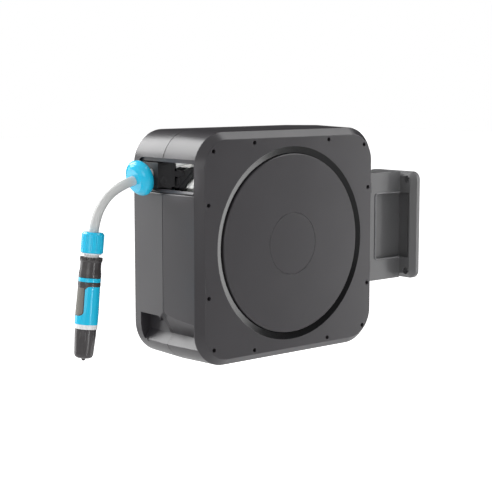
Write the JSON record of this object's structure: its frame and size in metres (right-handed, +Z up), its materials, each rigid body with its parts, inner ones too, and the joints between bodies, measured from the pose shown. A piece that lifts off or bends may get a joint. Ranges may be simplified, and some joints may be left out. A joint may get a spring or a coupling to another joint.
{
  "type": "wall-mounted hose reel",
  "caption": "Garden hose reel in a flat rounded case that swivels on a wall bracket, with drum, level wind, blue stop ball, hose tail, quick connector and spray nozzle.",
  "frame": {"origin": "centre of the wall plate's back face, where it meets the wall", "axes": "+X into the wall, +Z up, +Y towards the rear of the case; the large round cover faces -Y"},
  "size_m": [0.6965, 0.2141, 0.38],
  "materials": {
    "charcoal_plastic": "moulded charcoal polypropylene, fine matte grain",
    "bracket_plastic": "moulded charcoal glass-filled nylon, matte",
    "black_plastic": "moulded black polypropylene, matte",
    "blue_plastic": "moulded blue ABS, satin",
    "white_plastic": "moulded white ABS, satin",
    "dark_plastic": "moulded dark grey ABS, satin",
    "soft_grip": "moulded warm grey thermoplastic elastomer, matte",
    "grey_hose": "extruded light grey soft PVC hose, satin",
    "natural_acetal": "moulded natural acetal, satin",
    "zinc_steel": "turned steel with bright zinc plate",
    "spring_steel": "blued spring steel strip, oiled",
    "stainless_wire": "drawn stainless wire and turned stainless rod"
  },
  "bodies": {
    "wall": {"wall_bracket": "bracket_plastic", "pivot_pin": "zinc_steel", "pin_clip": "stainless_wire"},
    "case": {"front_shell": "charcoal_plastic", "rear_shell": "charcoal_plastic", "front_disc": "charcoal_plastic", "hub_cap": "charcoal_plastic", "case_screws": "zinc_steel", "window_frame": "black_plastic", "hinge_fitting": "bracket_plastic", "hinge_screws": "zinc_steel", "axle": "black_plastic", "axle_nut": "zinc_steel", "inlet_elbow": "black_plastic", "inlet_nipple": "dark_plastic", "guide_rod": "stainless_wire", "screw_bushes": "natural_acetal", "idler_stud": "zinc_steel"},
    "drum": {"drum_front": "black_plastic", "drum_rear": "black_plastic", "drum_bushes": "natural_acetal", "drum_gear": "natural_acetal", "wound_hose": "grey_hose", "spring_housing": "black_plastic", "power_spring": "spring_steel", "ratchet_ring": "zinc_steel", "drum_elbow": "black_plastic"},
    "idler": {"idler_gear": "natural_acetal"},
    "level_wind": {"cross_screw": "natural_acetal", "screw_gear": "natural_acetal"},
    "carriage": {"guide_carriage": "black_plastic", "guide_arm": "black_plastic", "hose_lead": "grey_hose", "ball_front": "blue_plastic", "ball_rear": "blue_plastic", "ball_screws": "zinc_steel", "hose_tail": "grey_hose", "hose_nut": "blue_plastic", "connector_body": "white_plastic"},
    "roller_upper": {"roller_upper": "natural_acetal"},
    "roller_lower": {"roller_lower": "natural_acetal"},
    "collar": {"connector_collar": "dark_plastic"},
    "nozzle": {"nozzle_nipple": "dark_plastic", "nozzle_blue_ring": "blue_plastic", "nozzle_neck": "dark_plastic", "nozzle_grip": "blue_plastic", "grip_inlay": "soft_grip", "nozzle_ring": "white_plastic"},
    "head": {"nozzle_head": "dark_plastic", "nozzle_tip": "dark_plastic"},
    "pawl": {"ratchet_pawl": "zinc_steel"}
  },
  "joints": [
    {"name": "case_swivel", "type": "hinge", "parent": "wall", "child": "case", "pos_m": [-0.115, 0, 0], "axis": [0, 0, 1], "range_deg": [-85, 85]},
    {"name": "drum_spin", "type": "hinge", "parent": "case", "child": "drum", "pos_m": [-0.348, 0, -0.002], "axis": [0, 1, 0], "continuous": true},
    {"name": "idler_spin", "type": "hinge", "parent": "case", "child": "idler", "pos_m": [-0.43928, 0, 0.02246], "axis": [0, 1, 0], "continuous": true},
    {"name": "screw_spin", "type": "hinge", "parent": "case", "child": "level_wind", "pos_m": [-0.5238, 0, 0.0451], "axis": [0, 1, 0], "continuous": true},
    {"name": "carriage_slide", "type": "slide", "parent": "case", "child": "carriage", "axis": [0, 1, 0], "range_m": [-0.075, 0]},
    {"name": "roller_upper_spin", "type": "hinge", "parent": "carriage", "child": "roller_upper", "pos_m": [-0.50372, 0.033, 0.14261], "axis": [0, 1, 0], "continuous": true},
    {"name": "roller_lower_spin", "type": "hinge", "parent": "carriage", "child": "roller_lower", "pos_m": [-0.49628, 0.033, 0.1153], "axis": [0, 1, 0], "continuous": true},
    {"name": "collar_slide", "type": "slide", "parent": "carriage", "child": "collar", "axis": [0.1127, 0, 0.9936], "range_m": [0, 0.004], "stiffness_N_per_m": 300, "springref_m": -0.01},
    {"name": "nozzle_swivel", "type": "hinge", "parent": "carriage", "child": "nozzle", "pos_m": [-0.66523, 0.033, -0.02031], "axis": [0.1127, 0, 0.9936], "continuous": true},
    {"name": "head_twist", "type": "hinge", "parent": "nozzle", "child": "head", "pos_m": [-0.67762, 0.033, -0.12961], "axis": [0.1127, 0, 0.9936], "range_deg": [0, 300]},
    {"name": "pawl_pivot", "type": "hinge", "parent": "case", "child": "pawl", "pos_m": [-0.31605, 0, 0.08463], "axis": [0, 1, 0], "range_deg": [-4.5, 3], "stiffness_Nm_per_rad": 0.05, "springref_deg": 1.72}
  ],
  "couplings": [
    {"joint": "idler_spin", "follows": "drum_spin", "ratio": -0.28571},
    {"joint": "screw_spin", "follows": "drum_spin", "ratio": 1.5}
  ]
}
